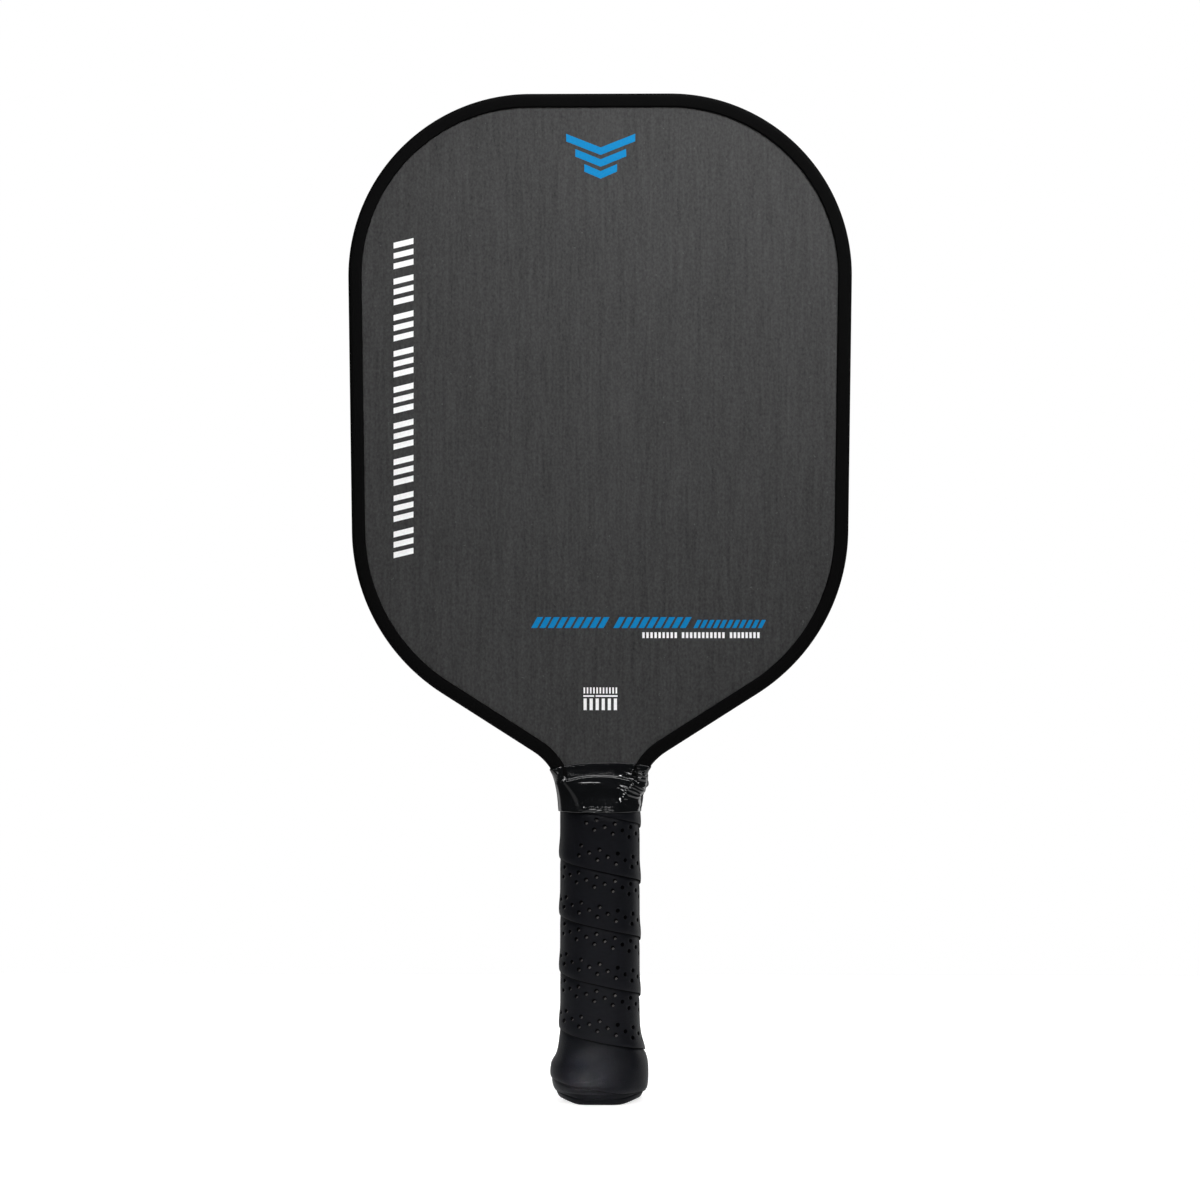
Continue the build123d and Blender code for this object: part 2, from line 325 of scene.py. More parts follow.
HALF_WIDTH = GUARD_HIGH.x
THROAT_HALF = 15.9 * MM
OUTLINE_CORNERS = [
    (0.0, LENGTH),
    (HALF_WIDTH + 1.0 * MM, LENGTH),
    (98.0 * MM, 184.4 * MM),
    (THROAT_HALF, 132.1 * MM),
    (THROAT_HALF, GUARD_LOW.z),
]
OUTLINE_RADII = [72.2 * MM, 77.5 * MM, 22.4 * MM]
ARC_STEPS = 96
GUARD_SPACING = 1.6 * MM
GUARD_REACH = 5.4 * MM
GUARD_WEB = 1.5 * MM
GUARD_EDGE = 1.5 * MM
LIP_RADIUS = 0.5 * MM
# The guard's lips are thinned under the collar, between these heights
LIP_THIN_Z, LIP_FULL_Z = 122 * MM, 129 * MM


def rounded_path(corners, radii, spacing):
    """Return even points and unit directions along straight runs with rounded corners."""
    points = [np.array(corners[0], float)]
    for before, corner, after, radius in zip(corners, corners[1:], corners[2:], radii):
        before, corner, after = (np.array(p, float) for p in (before, corner, after))
        back = (before - corner) / np.linalg.norm(before - corner)
        onward = (after - corner) / np.linalg.norm(after - corner)
        half_angle = math.acos(np.clip(back @ onward, -1, 1)) / 2
        bisector = (back + onward) / np.linalg.norm(back + onward)
        centre = corner + bisector * radius / math.sin(half_angle)
        start = corner + back * radius / math.tan(half_angle) - centre
        end = corner + onward * radius / math.tan(half_angle) - centre
        sweep = math.atan2(start[0] * end[1] - start[1] * end[0], start @ end)
        for step in range(ARC_STEPS + 1):
            turn = sweep * step / ARC_STEPS
            cosine, sine = math.cos(turn), math.sin(turn)
            x = start[0] * cosine - start[1] * sine
            z = start[0] * sine + start[1] * cosine
            points.append(centre + np.array([x, z]))
    points.append(np.array(corners[-1], float))
    points = np.array(points)
    lengths = np.concatenate([[0], np.cumsum(np.linalg.norm(np.diff(points, axis=0), axis=1))])
    even = np.linspace(0, lengths[-1], int(lengths[-1] / spacing) + 1)
    path = np.stack([np.interp(even, lengths, points[:, axis]) for axis in (0, 1)], axis=1)
    directions = np.gradient(path, axis=0)
    return path, directions / np.linalg.norm(directions, axis=1)[:, None]


def make_edge_guard():
    """Sweep the guard's soft-edged U section round the head, from throat to throat."""
    right, right_way = rounded_path(OUTLINE_CORNERS, OUTLINE_RADII, GUARD_SPACING)
    left, left_way = right[:0:-1] * (-1, 1), right_way[:0:-1] * (1, -1)
    path = np.concatenate([left, right])
    way = np.concatenate([left_way, right_way])
    inward = np.stack([way[:, 1], -way[:, 0]], axis=1)
    half, edge = GUARD_HIGH.y, GUARD_EDGE
    panel = PANEL_HALF + 0.02 * MM
    outer = [(0.0, 0.0), (0.0, 0.35 * half), (0.0, half - edge)]
    for angle in (math.radians(20 * step) for step in range(1, 5)):
        outer.append((edge - edge * math.cos(angle), half - edge + edge * math.sin(angle)))
    outer += [(edge + 0.4 * MM, half - 0.01 * MM), (3.2 * MM, half - 0.06 * MM)]
    outer += [(4.5 * MM, half - 0.16 * MM)]
    tip_n, tip_y = GUARD_REACH - LIP_RADIUS, PANEL_HALF + 0.45 * MM
    for angle in (math.radians(22.5 * step) for step in range(0, 5)):
        outer.append((tip_n + LIP_RADIUS * math.sin(angle), tip_y + LIP_RADIUS * math.cos(angle)))
    outer += [(GUARD_REACH, panel), (GUARD_WEB, panel), (GUARD_WEB, 0.3 * half)]
    section = outer + [(n, -y) for n, y in outer[::-1] if y > 0]
    vertices = []
    for point, normal in zip(path, inward):
        lip = 0.35 + 0.65 * float(smoothstep(LIP_THIN_Z, LIP_FULL_Z, point[1]))
        highest = PANEL_HALF + (half - PANEL_HALF) * lip
        for n, y in section:
            n_here = n * lip if n > GUARD_WEB else n
            y_here = math.copysign(min(abs(y), highest), y) if y else 0.0
            place = point + normal * n_here
            vertices.append((place[0], y_here, place[1]))
    rows = len(section)
    faces = []
    for column in range(len(path) - 1):
        for row in range(rows):
            here, there = column * rows, (column + 1) * rows
            following = (row + 1) % rows
            faces.append((here + row, here + following, there + following, there + row))
    faces.append(tuple(range(rows))[::-1])
    faces.append(tuple(range((len(path) - 1) * rows, len(path) * rows)))
    return make_piece("edge_guard_moulding", vertices, faces, GUARD)


guard = make_edge_guard()
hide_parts("edge_guard")

# ---------------------------------------------------------------- the eight-sided handle section


def octagon_ring(half_width, half_depth, flat_half, side_half, radius, count=720):
    """Return even points, outward normals and the length round a rounded octagon.

    The points start at the front and run leftwards.
    """
    right_front = [(flat_half, -half_depth), (half_width, -side_half)]
    corners = [(-x, y) for x, y in right_front] + [(-x, -y) for x, y in right_front[::-1]]
    corners += [(x, -y) for x, y in right_front] + [(x, y) for x, y in right_front[::-1]]
    corners = np.array(corners, float)
    edges = np.roll(corners, -1, axis=0) - corners
    normals = np.stack([-edges[:, 1], edges[:, 0]], axis=1)
    normals = normals / np.linalg.norm(edges, axis=1)[:, None]
    before = np.roll(normals, 1, axis=0)
    bisectors = (before + normals) / (1 + (before * normals).sum(axis=1))[:, None]
    inner = corners - radius * bisectors
    places, outward = [np.array([0.0, -half_depth])], [np.array([0.0, -1.0])]
    for centre, first, last in zip(inner, before, normals):
        for share in np.linspace(0, 1, 9):
            normal = first * (1 - share) + last * share
            normal = normal / np.linalg.norm(normal)
            places.append(centre + radius * normal)
            outward.append(normal)
    places.append(places[0])
    outward.append(outward[0])
    places, outward = np.array(places), np.array(outward)
    lengths = np.concatenate([[0], np.cumsum(np.linalg.norm(np.diff(places, axis=0), axis=1))])
    even = np.linspace(0, lengths[-1], count, endpoint=False)
    points = np.stack([np.interp(even, lengths, places[:, axis]) for axis in (0, 1)], axis=1)
    ways = np.stack([np.interp(even, lengths, outward[:, axis]) for axis in (0, 1)], axis=1)
    return points, ways / np.linalg.norm(ways, axis=1)[:, None], lengths[-1]


# Half-width, half-depth, half of the front flat, half of the side flat and corner radius
GRIP_SECTION = (15.85 * MM, 14.85 * MM, 8.0 * MM, 8.1 * MM, 11.0 * MM)
RING_POINTS, RING_NORMALS, RING_LENGTH = octagon_ring(*GRIP_SECTION)

# How far the wrapped surface stands outside the straight grip, by height
FLARE = curve_through(
    [
        (0.0, 0.5 * MM),
        (2.4 * MM, 1.5 * MM),
        (4.4 * MM, 2.3 * MM),
        (7.0 * MM, 3.1 * MM),
        (10.5 * MM, 3.5 * MM),
        (14.0 * MM, 3.35 * MM),
        (17.5 * MM, 2.6 * MM),
        (21.0 * MM, 1.45 * MM),
        (25.0 * MM, 0.65 * MM),
        (30.0 * MM, 0.15 * MM),
        (36.0 * MM, 0.0),
    ]
)

# The flare bulges lower on the front and rear flats, and higher on the left
FLAT_SHIFT = 4.0 * MM
LEFT_SHIFT = 2.4 * MM
# The grip narrows front to back where it goes under the collar
TOP_SQUEEZE = 0.075


def on_handle(fraction, height, lift):
    """Return points on the handle: a share of the way round, a height, a lift off its surface."""
    place = np.mod(fraction, 1.0) * len(RING_POINTS)
    low = np.floor(place).astype(int) % len(RING_POINTS)
    high = (low + 1) % len(RING_POINTS)
    share = (place - np.floor(place))[..., None]
    point = RING_POINTS[low] * (1 - share) + RING_POINTS[high] * share
    normal = RING_NORMALS[low] * (1 - share) + RING_NORMALS[high] * share
    on_left = smoothstep(2 * MM, 13 * MM, -point[..., 0])
    on_flat = smoothstep(13 * MM, 7 * MM, np.abs(point[..., 0]))
    shift = LEFT_SHIFT * on_left * smoothstep(13 * MM, 17 * MM, height)
    shift = shift + FLAT_SHIFT * on_flat * smoothstep(3 * MM, 9 * MM, height)
    flared = FLARE(height + shift)
    flat = point + normal * (flared + lift)[..., None]
    slim = 1 - TOP_SQUEEZE * smoothstep(112 * MM, 119 * MM, height)
    return np.stack([flat[..., 0], flat[..., 1] * slim, height], axis=-1)


# ---------------------------------------------------------------- the spiral grip tape

SEAM_PITCH = 22.5 * MM
FIRST_SEAM_Z = 24.3 * MM
HELIX = math.atan2(SEAM_PITCH, RING_LENGTH)
BAND = RING_LENGTH * math.sin(HELIX)
TURN = RING_LENGTH / math.cos(HELIX)
OVERLAP = 2.4 * MM
# The cells of the hole pattern in one turn of the tape, and the mesh columns in each cell
CELLS_PER_TURN = 28
CELL_STEPS = 4
# How far a hole leans, for each millimetre of its depth
HOLE_SLANT = 0.35
HOLE_CORNERS = 12
# The steps round a hole where the tape's pale backing shows, as a painted highlight on the side the
# light reaches; only holes left of LIT_LIMIT get it, and the rest of each hole is painted shade
OPEN_SIDE = (11, 0, 1)
LIT_LIMIT = 7.0 * MM
# Radius and depth of each ring down a hole
HOLE_RINGS = (
    (0.95 * MM, 0.0),
    (0.84 * MM, 0.06 * MM),
    (0.66 * MM, 0.30 * MM),
    (0.46 * MM, 0.70 * MM),
)
ROW_PITCH = 2.0 * MM
LOW_CLUSTER = 3.64 * MM
HIGH_CLUSTER = 14.9 * MM
TAPE_START_Z = 4.3 * MM
TAPE_END_Z = 117.5 * MM
# The tape is this much thinner beside an end that is trimmed, and over about this width
TRIM_THINNING, TRIM_WIDTH = 0.30 * MM, 0.7 * MM
FLARE_SQUEEZE = 0.82
# Turns of the helix between which the tape is laid, and between which it has holes
TAPE_TURNS = (-1.0, 5.4)
HOLE_TURNS = (0.5, 4.5)

TOP_LIFT = curve_through(
    [
        (0.0, 0.18 * MM),
        (0.35 * MM, 0.38 * MM),
        (2.2 * MM, 0.52 * MM),
        (3.6 * MM, 0.45 * MM),
        (6.6 * MM, 0.18 * MM),
        (9.6 * MM, 0.02 * MM),
        (18.0 * MM, 0.0),
        (20.4 * MM, -0.08 * MM),
        (BAND, -0.45 * MM),
        (BAND + OVERLAP, -0.62 * MM),
    ]
)
UNDER_LIFT = curve_through(
    [
        (0.0, -0.12 * MM),
        (OVERLAP, -0.60 * MM),
        (OVERLAP + 0.6 * MM, -1.05 * MM),
        (BAND + OVERLAP, -1.05 * MM),
    ]
)


def helix_height(along, across):
    """Return the height of a place on the tape, squeezed together where it covers the flare."""
    height = FIRST_SEAM_Z + (along - TURN) * math.sin(HELIX) + across * math.cos(HELIX)
    low = FIRST_SEAM_Z - (FIRST_SEAM_Z - height) * FLARE_SQUEEZE
    return np.where(height < FIRST_SEAM_Z, low, height)


def on_tape(along, across, lift):
    """Return points of the tape: distances along and across it, and a lift off the handle."""
    fraction = (along * math.cos(HELIX) - across * math.sin(HELIX)) / RING_LENGTH
    return on_handle(fraction, helix_height(along, across), lift)


def tape_limits(along):
    """Return how far across the tape its lower and upper edges lie, where its ends are trimmed."""
    across = np.linspace(0, BAND + OVERLAP, 400)
    heights = helix_height(np.full_like(across, along), across)
    inside = (heights >= TAPE_START_Z) & (heights <= TAPE_END_Z)
    return (across[inside][0], across[inside][-1]) if inside.sum() > 8 else None


def tape_rows():
    """Return the places of the mesh's rows across the tape."""
    rows = [0.0, 0.35 * MM, 1.2 * MM, 2.2 * MM, 2.9 * MM]
    rows += [LOW_CLUSTER + step * ROW_PITCH / 2 for step in range(7)]
    gap_low, gap_high = LOW_CLUSTER + 3 * ROW_PITCH, HIGH_CLUSTER
    rows += [gap_low + (gap_high - gap_low) * step / 5 for step in range(1, 5)]
    rows += [HIGH_CLUSTER + step * ROW_PITCH / 2 for step in range(7)]
    rows += [BAND - 0.55 * MM, BAND - 0.15 * MM, BAND + 1.0 * MM, BAND + OVERLAP]
    return np.array(rows)


TAPE_ROWS = tape_rows()
# The lowest mesh row of each line of holes, and the stagger of its cells
HOLE_LINES = {
    int(np.argmin(np.abs(TAPE_ROWS - cluster))) + 2 * line: line + stagger
    for cluster, stagger in ((LOW_CLUSTER, 0), (HIGH_CLUSTER, 1))
    for line in range(3)
}


def has_hole(cell, row, turns):
    """Tell whether a cell of the tape's pattern, on one of its lines of holes, holds a hole."""
    return HOLE_TURNS[0] < turns < HOLE_TURNS[1] and (cell + HOLE_LINES[row]) % 2 == 0


def hole_faces(vertices, column, row, along, step):
    """Return one hole's faces: its soft rim, its walls and floor in painted shade, and the tape's
    pale underside on the side the light reaches, as a painted highlight.
    """
    loop = [(c, 0) for c in range(CELL_STEPS + 1)] + [(CELL_STEPS, 1)]
    loop += [(c, 2) for c in range(CELL_STEPS, -1, -1)] + [(0, 1)]
    outline = [(column + c) * len(TAPE_ROWS) + row + r for c, r in loop]
    centre_along = along + CELL_STEPS * step / 2
    centre_across = TAPE_ROWS[row + 1]
    lift = TOP_LIFT(np.array([centre_across]))[0]
    centre = on_tape(np.array([centre_along]), np.array([centre_across]), np.array([lift]))[0]
    open_side = OPEN_SIDE if centre[0] < LIT_LIMIT else ()
    angles = np.radians(-150 + 360 / HOLE_CORNERS * np.arange(HOLE_CORNERS))
    previous, faces, hollow, backing = outline, [], [], []
    for radius, depth in HOLE_RINGS:
        ring_along = centre_along + radius * np.cos(angles) + HOLE_SLANT * depth
        ring_across = centre_across + radius * np.sin(angles) + HOLE_SLANT * depth
        ring_lift = TOP_LIFT(ring_across) if depth == 0 else np.full(len(angles), lift - depth)
        start = len(vertices)
        vertices.extend(tuple(p) for p in on_tape(ring_along, ring_across, ring_lift))
        ring = list(range(start, start + len(angles)))
        for i in range(len(ring)):
            j = (i + 1) % len(ring)
            # Walls on the lit steps show the pale backing as a painted highlight; the other walls
            # are painted shade
            group = faces if depth < 0.1 * MM else backing if i in open_side else hollow
            group.append((previous[j], previous[i], ring[i], ring[j]))
        previous = ring
    hollow.append(tuple(previous[::-1]))
    return faces, hollow, backing


def tape_columns(step):
    """Return each column of the tape's mesh: its index, distance along and limits across."""
    first, last = (int(turns * TURN / step) for turns in TAPE_TURNS)
    columns = [(index, index * step, tape_limits(index * step)) for index in range(first, last + 1)]
    return [column for column in columns if column[2]]


def is_full(low, high):
    """Tell whether the tape has its full width, so its end isn't trimmed there."""
    return low <= 0.05 * MM and high >= BAND + OVERLAP - 0.1 * MM


def make_grip():
    """Build the tape as one long strip, wound from the butt to the throat, with its holes open."""
    row_count = len(TAPE_ROWS)
    step = TURN / (CELLS_PER_TURN * CELL_STEPS)
    columns = tape_columns(step)
    top, under = [], []
    for _, along, (low, high) in columns:
        across = TAPE_ROWS
        lift = TOP_LIFT(across)
        if not is_full(low, high):
            across = low + TAPE_ROWS / TAPE_ROWS[-1] * (high - low)
            thinned = TRIM_THINNING * np.exp(-(((across - low) / TRIM_WIDTH) ** 2)) * (low > 0)
            lift = TOP_LIFT(across) - thinned
        places = np.full(row_count, along)
        top.append(on_tape(places, across, lift))
        under.append(on_tape(places, across, UNDER_LIFT(across)))
    vertices = [tuple(p) for p in np.concatenate(top + under)]
    under_start = len(columns) * row_count
    index_of = {index: number for number, (index, _, _) in enumerate(columns)}
    faces, hollow, backing, covered = [], [], [], set()
    for index, along, limits in columns:
        if index % CELL_STEPS or index + CELL_STEPS not in index_of or not is_full(*limits):
            continue
        for row in HOLE_LINES:
            if has_hole(index // CELL_STEPS, row, along / TURN):
                corner = index_of[index]
                # dark holds the hole's walls and floor in painted shade, light its pale backing lit
                # as a painted highlight
                rim, dark, light = hole_faces(vertices, corner, row, along, step)
                faces += rim
                hollow += dark
                backing += light
                covered.update((corner + c, row + r) for c in range(CELL_STEPS) for r in range(2))
    for column in range(len(columns) - 1):
        for row in range(row_count - 1):
            if (column, row) in covered:
                continue
            left, right = column * row_count + row, (column + 1) * row_count + row
            # The first row, the tape's cut edge along each seam, is painted shade: a thin dark line
            # where the edge shades itself
            (hollow if row == 0 else faces).append((left, left + 1, right + 1, right))
    faces += grid_faces(len(columns), row_count, under_start)
    # The side along the tape's lower edge is painted shade; the side along its upper edge is plain
    # tape
    for column in range(len(columns) - 1):
        left, right = column * row_count, (column + 1) * row_count
        hollow.append((left, right, under_start + right, under_start + left))
        left, right = left + row_count - 1, right + row_count - 1
        faces.append((right, left, under_start + left, under_start + right))
    for column, turned in ((0, False), (len(columns) - 1, True)):
        for row in range(row_count - 1):
            near = column * row_count + row
            quad = (near, under_start + near, under_start + near + 1, near + 1)
            faces.append(quad[::-1] if turned else quad)
    # Material 1 is painted shade, material 2 the pale backing with a painted highlight
    piece = make_piece("grip_tape_wrap", vertices, faces + hollow + backing, GRIP)
    piece.data.materials.append(HOLLOW)
    piece.data.materials.append(BACKING)
    groups = [0] * len(faces) + [1] * len(hollow) + [2] * len(backing)
    piece.data.polygons.foreach_set("material_index", groups)
    return piece


grip = make_grip()
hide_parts("grip_surface_tape", "grip_cushion_tape", "grip_glue_tape")

# ---------------------------------------------------------------- the butt cap

CAP_POINTS = 192
DOME_RISE = 1.6 * MM
# Height in millimetres, and reach outside the straight grip, of each ring up the cap's outside
CAP_RINGS = [
    (0.0, -1.4), (0.0, 0.15), (0.12, 0.45), (0.45, 0.7), (1.9, 1.35), (2.25, 1.4), (2.45, 1.2),
    (2.65, 1.22), (2.9, 1.5), (4.2, 2.05), (6.0, 2.4), (8.0, 2.5), (10.0, 2.4), (13.0, 1.8),
    (17.0, 0.55), (21.0, -0.25), (24.0, -0.7), (27.5, -1.0),
]
CAP_INSIDE_REACH = -1.55
CAP_INSIDE_HEIGHTS = (27.5, 4.5)
# A height above the flare, where the handle is straight
STRAIGHT_Z = 40 * MM


def make_butt_cap():
    """Build the flared cap: a grooved base plate, a bulb under the tape, and the badge's recess."""
    count = CAP_POINTS
    fraction = np.arange(count) / count
    angles = -np.pi / 2 - 2 * np.pi * fraction
    round_way = np.stack([np.cos(angles), np.sin(angles), np.zeros(count)], axis=1)
    recess = BADGE_HIGH.x + 0.1 * MM
    rings = []
    for radius, height in (
        (recess, BADGE_HIGH.z + 0.01 * MM),
        (recess, 0.2 * MM),
        (recess + 0.25 * MM, 0.0),
    ):
        ring = round_way * radius
        ring[:, 2] = height
        rings.append(ring)
    for height, reach in CAP_RINGS:
        ring = on_handle(fraction, np.full(count, STRAIGHT_Z), np.full(count, reach * MM))
        outside = smoothstep(7.5 * MM, 16.5 * MM, np.abs(ring[:, 0]))
        ring[:, 2] = height * MM + DOME_RISE * outside * smoothstep(6.0, 1.0, height)
        rings.append(ring)
    for height in CAP_INSIDE_HEIGHTS:
        reach = np.full(count, CAP_INSIDE_REACH * MM)
        ring = on_handle(fraction, np.full(count, STRAIGHT_Z), reach)
        ring[:, 2] = height * MM
        rings.append(ring)
    vertices = np.concatenate(rings)
    faces = []
    for ring in range(len(rings) - 1):
        for i in range(count):
            j = (i + 1) % count
            a, b = ring * count, (ring + 1) * count
            faces.append((a + i, a + j, b + j, b + i))
    faces.append(tuple(range(count))[::-1])
    faces.append(tuple(range((len(rings) - 1) * count, len(rings) * count)))
    return make_piece("butt_cap_moulding", vertices, faces, CAP)


cap = make_butt_cap()
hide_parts("butt_cap")

# ---------------------------------------------------------------- the glossy finishing tape

# Height, half-width, half-depth, half of the face flat, half of the side flat and corner radius
COLLAR_SECTIONS = [
    (114.0, 16.4, 15.5, 8.3, 8.4, 8.0),
    (119.0, 16.8, 14.5, 9.2, 8.3, 8.0),
    (123.0, 17.3, 12.4, 11.2, 8.0, 6.5),
    (126.5, 18.0, 10.2, 13.6, 7.9, 4.8),
    (129.2, 18.8, 9.0, 16.2, 8.0, 2.6),
    (131.5, 19.9, 8.75, 18.7, 7.9, 1.1),
    (133.5, 21.0, 8.7, 19.9, 7.9, 0.9),
    (136.0, 23.0, 8.7, 21.9, 7.9, 0.9),
]
COLLAR_POINTS, COLLAR_ROWS, COLLAR_LEVELS = 440, 100, 90
COLLAR_BOTTOM = 115.2
COLLAR_THICKNESS = 0.42
# The collar's top edge: its height at the middle, its arch, and its rise towards the right
COLLAR_TOP, TOP_ARCH, TOP_RISE = 134.3, 0.0060, 0.055
# The height whose section tells how far sideways each place on the top edge lies
TOP_GUIDE_Z = 132.5
# The blade's arched step: where it fades out sideways and upwards, its arch and its depth
STEP_X, STEP_Z = (16.2, 13.4), (128.8, 129.8)
STEP_ARCH, STEP_DEPTH = 0.0105, 1.0
# Mesh rows over which the relief fades out at both edges, and how far the top edge turns in
EDGE_ROWS, EDGE_TURN = 4, 0.2
# The collar's flats lie beyond this depth, front and back
FLAT_Y = 7.2
# The crumples fade in from left to right, up from the bottom and down from the top
CRUMPLE_X, CRUMPLE_LOW, CRUMPLE_HIGH = (4.5, 11.5), (115.5, 118.5), (133.0, 130.5)
# The flap on the right: where it fades in, its height up the handle, its size and its rise
FLAP_X, FLAP_Z, FLAP_SIZE, FLAP_RISE = (14, 18), 125.2, 2.8, 1.35
# Height, peak, curve, width, start, end and centre of each fold on the collar's flats
COLLAR_FOLDS = [
    (0.22, 126.5, 0.0040, 0.28, -9, 1, -3.0),
    (0.22, 128.7, 0.0, 0.30, -15, -11, 0.0),
    (0.30, 130.9, -0.01, 0.28, 13, 17, 10),
    (0.50, 116.2, 0.02, 0.40, -6.0, 0, -3),
]


def ridge(x, z, height, peak, curve, width, start, end, centre):
    """Return a long arched fold: its height above the tape fades out towards its two ends."""
    line = peak - curve * (x - centre) ** 2
    fade = float(smoothstep(start - 3, start + 3, x) * smoothstep(end + 2, end - 2, x))
    return height * fade * math.exp(-(((z - line) / width) ** 2))


def collar_relief(x, y, z):
    """Return how far, in millimetres, the stretched tape stands up: arches, crumples and a flap."""
    lift = 0.05 * noise.noise(Vector((x * 0.08, y * 0.10, z * 0.7)))
    if abs(y) > FLAT_Y:
        share = 1.0 if y < 0 else 0.7
        lift += share * sum(ridge(x, z, *fold) for fold in COLLAR_FOLDS)
    crumple = float(smoothstep(*CRUMPLE_X, x)) * (1.25 if y < 0 else 0.6)
    crumple *= float(smoothstep(*CRUMPLE_LOW, z) * smoothstep(*CRUMPLE_HIGH, z))
    fold = noise.noise(Vector((x * 0.12 + 5, y * 0.08, z * 0.42 + x * 0.20)))
    lift += crumple * 0.5 * (0.5 - min(abs(fold) * 2.8, 1.0))
    if x > FLAP_X[0]:
        shape = math.exp(-(((z - FLAP_Z) / FLAP_SIZE) ** 2))
        lift += FLAP_RISE * shape * float(smoothstep(*FLAP_X, x))
    return lift


def make_collar():
    """Build the stretched collar: a thin closed band with wrinkles and rolled edges."""
    count, rows = COLLAR_POINTS, COLLAR_ROWS
    keys = np.array(COLLAR_SECTIONS)
    curves = [curve_through(list(zip(keys[:, 0], keys[:, i]))) for i in range(1, 6)]
    heights = np.linspace(keys[0, 0], keys[-1, 0], COLLAR_LEVELS)
    rings = [octagon_ring(*[float(curve(h)) for curve in curves], count=count) for h in heights]
    points, ways = (np.array([ring[i] for ring in rings]) for i in (0, 1))
    outer, inner = np.zeros((count, rows, 3)), np.zeros((count, rows, 3))
    for column in range(count):
        x_top = np.interp(TOP_GUIDE_Z, heights, points[:, column, 0])
        top = COLLAR_TOP - TOP_ARCH * x_top**2 + TOP_RISE * max(x_top, 0)
        for row in range(rows):
            z = COLLAR_BOTTOM + (top - COLLAR_BOTTOM) * row / (rows - 1)
            x, y = (np.interp(z, heights, points[:, column, axis]) for axis in (0, 1))
            way_x, way_y = (np.interp(z, heights, ways[:, column, axis]) for axis in (0, 1))
            sunk = smoothstep(*STEP_X, abs(x)) * smoothstep(*STEP_Z, z + STEP_ARCH * x * x)
            y = math.copysign(abs(y) - STEP_DEPTH * sunk, y)
            edge = (rows - 1 - row) / EDGE_ROWS
            lift = collar_relief(x, y, z) * min(edge, row / EDGE_ROWS, 1.0)
            lift -= EDGE_TURN * max(0.0, 1 - edge) ** 2
            outer[column, row] = (x + way_x * lift, y + way_y * lift, z)
            inner[column, row] = (x - way_x * COLLAR_THICKNESS, y - way_y * COLLAR_THICKNESS, z)
    vertices = np.concatenate([outer.reshape(-1, 3), inner.reshape(-1, 3)]) * MM
    start = count * rows
    faces = grid_faces(count, rows, 0, closed=True, flip=True)
    faces += grid_faces(count, rows, start, closed=True)
    for column in range(count):
        here, there = column * rows, ((column + 1) % count) * rows
        faces.append((here, there, start + there, start + here))
        here, there = here + rows - 1, there + rows - 1
        faces.append((there, here, start + here, start + there))
    return make_piece("finishing_tape_wrap", vertices, faces, VINYL)


collar = make_collar()
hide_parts("finishing_tape")

# ---------------------------------------------------------------- the printed graphics

INK = 0.04 * MM
INK_GAP = 0.002 * MM


def make_print(name, shapes, material):
    """Print flat shapes, each a list of (x, z) corners in millimetres, as a film on the face."""
    vertices, faces = [], []
    for shape in shapes:
        start, count = len(vertices), len(shape)
        for y in (FRONT_Y - INK, FRONT_Y - INK_GAP):
            vertices += [(x * MM, y, z * MM) for x, z in shape]
        faces.append(tuple(range(start, start + count)))
        faces.append(tuple(range(start + count, start + 2 * count))[::-1])
        for i in range(count):
            j = (i + 1) % count
            faces.append((start + j, start + i, start + count + i, start + count + j))
    return make_piece(name, vertices, faces, material, smooth=False)


def slanted_bar(x, z, width, height, slant):
    """Return the corners of a bar that leans to the right by slant over its height."""
    return [(x, z), (x + width, z), (x + width + slant, z + height), (x + slant, z + height)]


def chevron(centre, top, half_width, drop, bar):
    """Return the corners of a V of even thickness that points down."""
    return [
        (centre - half_width, top),
        (centre - half_width, top - bar),
        (centre, top - bar - drop),
        (centre + half_width, top - bar),
        (centre + half_width, top),
        (centre, top - drop),
    ]


def bars(x, z, count, width, gap, height, slant):
    """Return a row of leaning bars with even gaps."""
    return [slanted_bar(x + i * (width + gap), z, width, height, slant) for i in range(count)]


def side_stripes():
    """Return the column of rising stripes beside the face's left edge, in groups of three."""
    shapes = []
    for group in range(9):
        for stripe in range(3):
            z = 215.6 + group * 14.35 + stripe * 4.1
            shapes.append([(-81.9, z), (-74.0, z + 1.9), (-74.0, z + 4.2), (-81.9, z + 2.3)])
    return shapes


make_print(
    "print_head_chevrons",
    [chevron(0.4, 384.0 - 6.0 * i, 13.7 - 3.6 * i, 5.4 - 1.3 * i, 3.0) for i in range(3)],
    BLUE,
)
make_print("print_side_stripes", side_stripes(), WHITE)
make_print(
    "print_long_bars",
    bars(-27.2, 187.9, 9, 2.3, 1.0, 4.3, 2.4)
    + bars(5.4, 187.9, 9, 2.3, 1.0, 4.3, 2.4)
    + bars(37.2, 187.9, 11, 1.6, 0.95, 3.2, 1.6),
    BLUE,
)
make_print(
    "print_short_bars",
    bars(16.9, 183.9, 9, 0.95, 0.65, 2.3, 0.0)
    + bars(32.6, 183.9, 11, 0.95, 0.65, 2.3, 0.0)
    + bars(51.6, 183.9, 8, 0.95, 0.60, 2.3, 0.0),
    WHITE,
)
make_print(
    "print_throat_bars",
    bars(-6.4, 161.9, 11, 0.62, 0.65, 2.4, 0.0)
    + bars(-6.4, 155.3, 6, 1.25, 1.15, 4.6, 0.0)
    + [slanted_bar(-6.5, 160.6, 4.3, 0.6, 0.0), slanted_bar(-1.6, 160.6, 8.7, 0.6, 0.0)],
    WHITE,
)

# ---------------------------------------------------------------- floor, light and camera

FLOOR_HALF, FLOOR_FRONT, FLOOR_BACK, FLOOR_Z = 0.34, -0.25, 0.36, -0.0002
FLOOR_GLOW = 0.72
SOFT_LIGHT = 0.08


